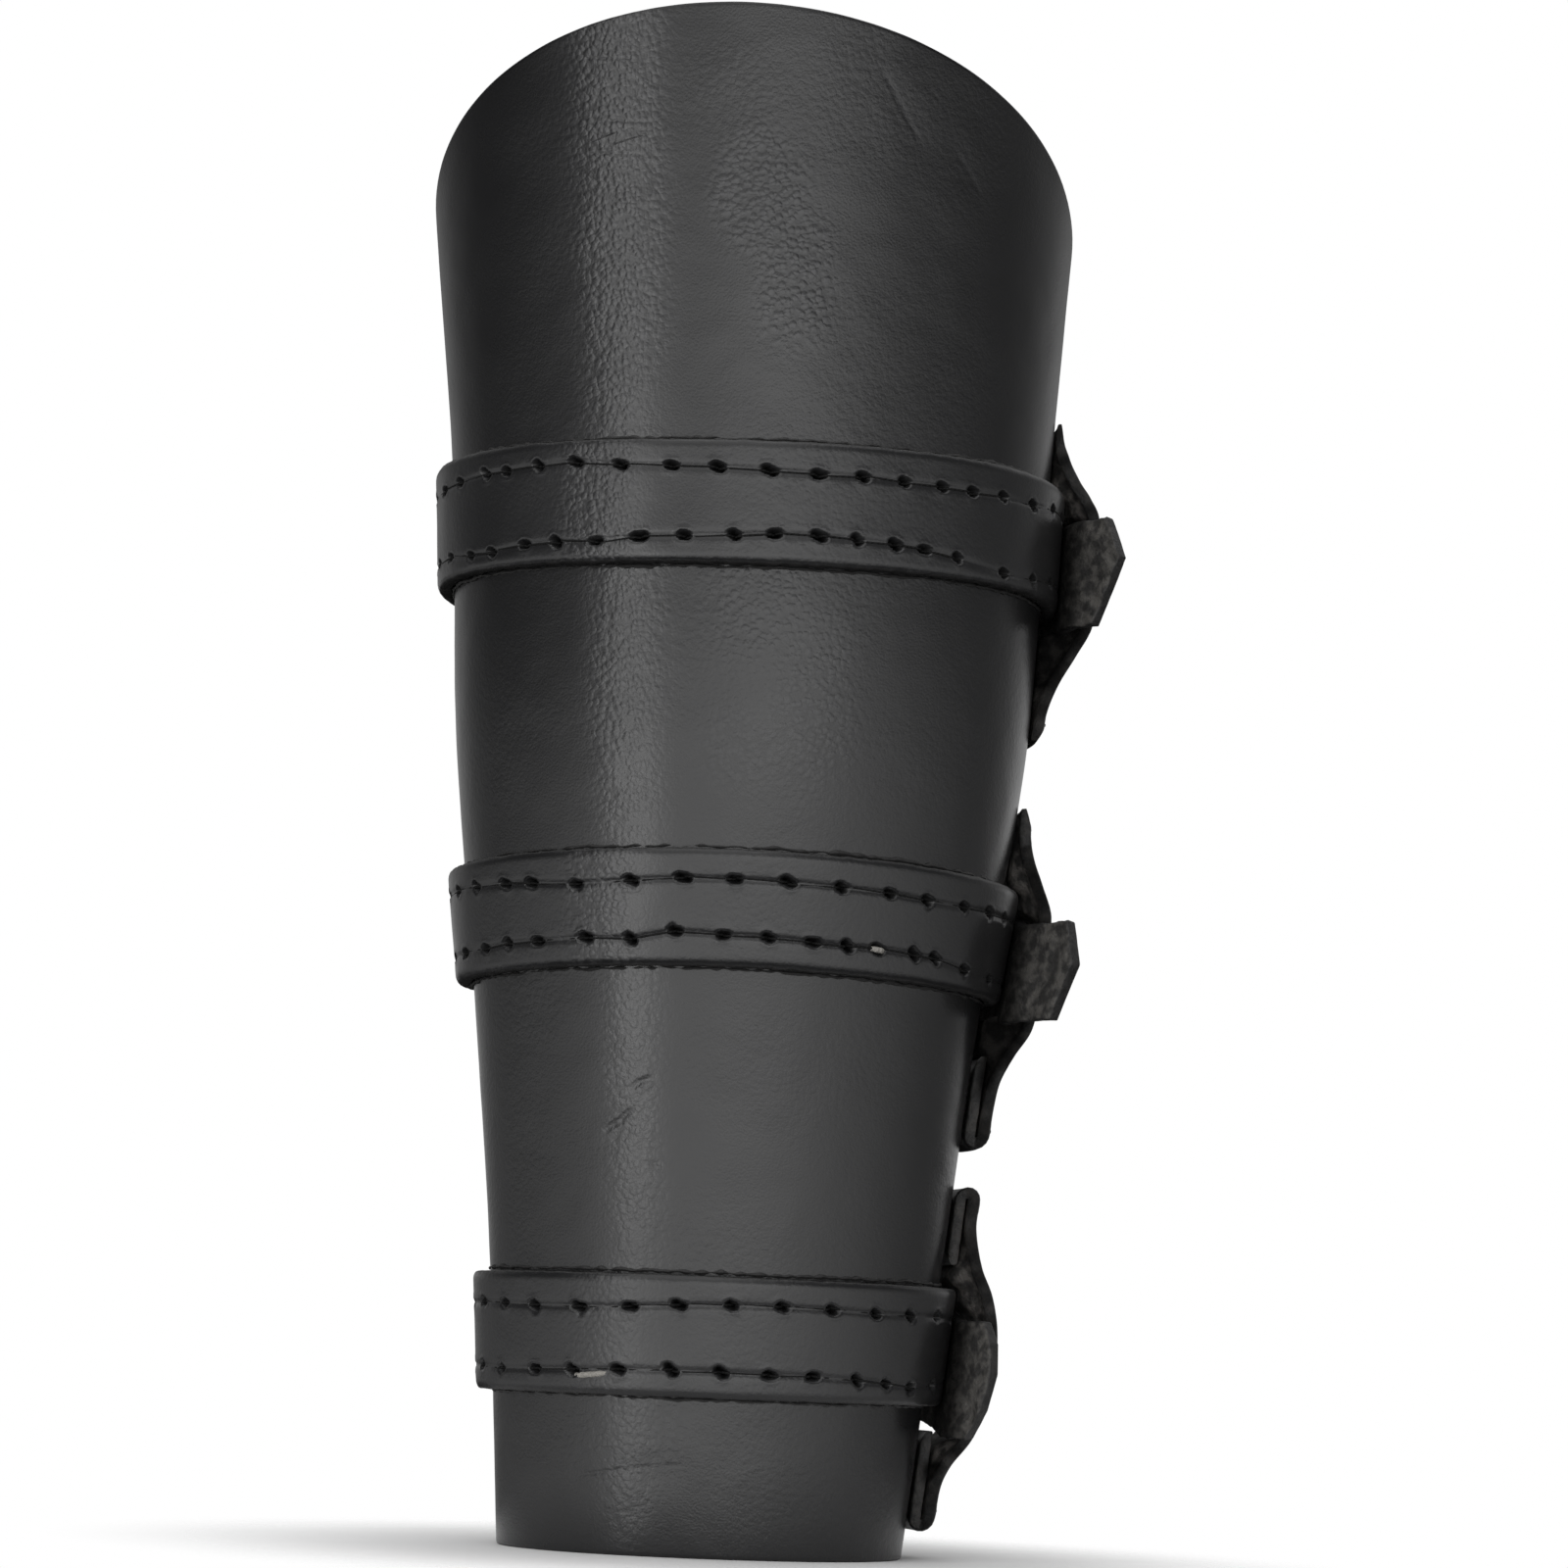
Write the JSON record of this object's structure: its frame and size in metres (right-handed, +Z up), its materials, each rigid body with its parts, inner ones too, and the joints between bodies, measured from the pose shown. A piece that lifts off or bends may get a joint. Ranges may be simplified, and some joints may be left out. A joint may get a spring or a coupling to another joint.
{
  "type": "leather vambrace",
  "caption": "Black leather forearm guard: a tapered, open-backed tube with a domed elbow end, stitched straps across the front, buckles at the back right, upright keepers and free tails.",
  "frame": {"origin": "centre of the whole piece's footprint, on the plane that the wrist rim stands on", "axes": "+Z up along the forearm from wrist to elbow, -Y the front that shows in the picture, +X the side with the keepers and the straps' free tails"},
  "size_m": [0.1222, 0.0982, 0.2519],
  "materials": {
    "shell_leather": "smooth, semi-matte, fine pebbled grain",
    "strap_leather": "smooth, semi-matte, bevelled and burnished edges",
    "keeper_leather": "semi-matte with raw cut edges",
    "buckle_metal": "blackened steel wire, satin"
  },
  "bodies": {
    "root": {"shell": "shell_leather", "strap_upper": "strap_leather", "strap_middle": "strap_leather", "strap_lower": "strap_leather", "keeper_upper": "keeper_leather", "keeper_middle": "keeper_leather", "keeper_lower": "keeper_leather", "buckle_upper": "buckle_metal", "buckle_middle": "buckle_metal", "buckle_lower": "buckle_metal"}
  },
  "joints": []
}
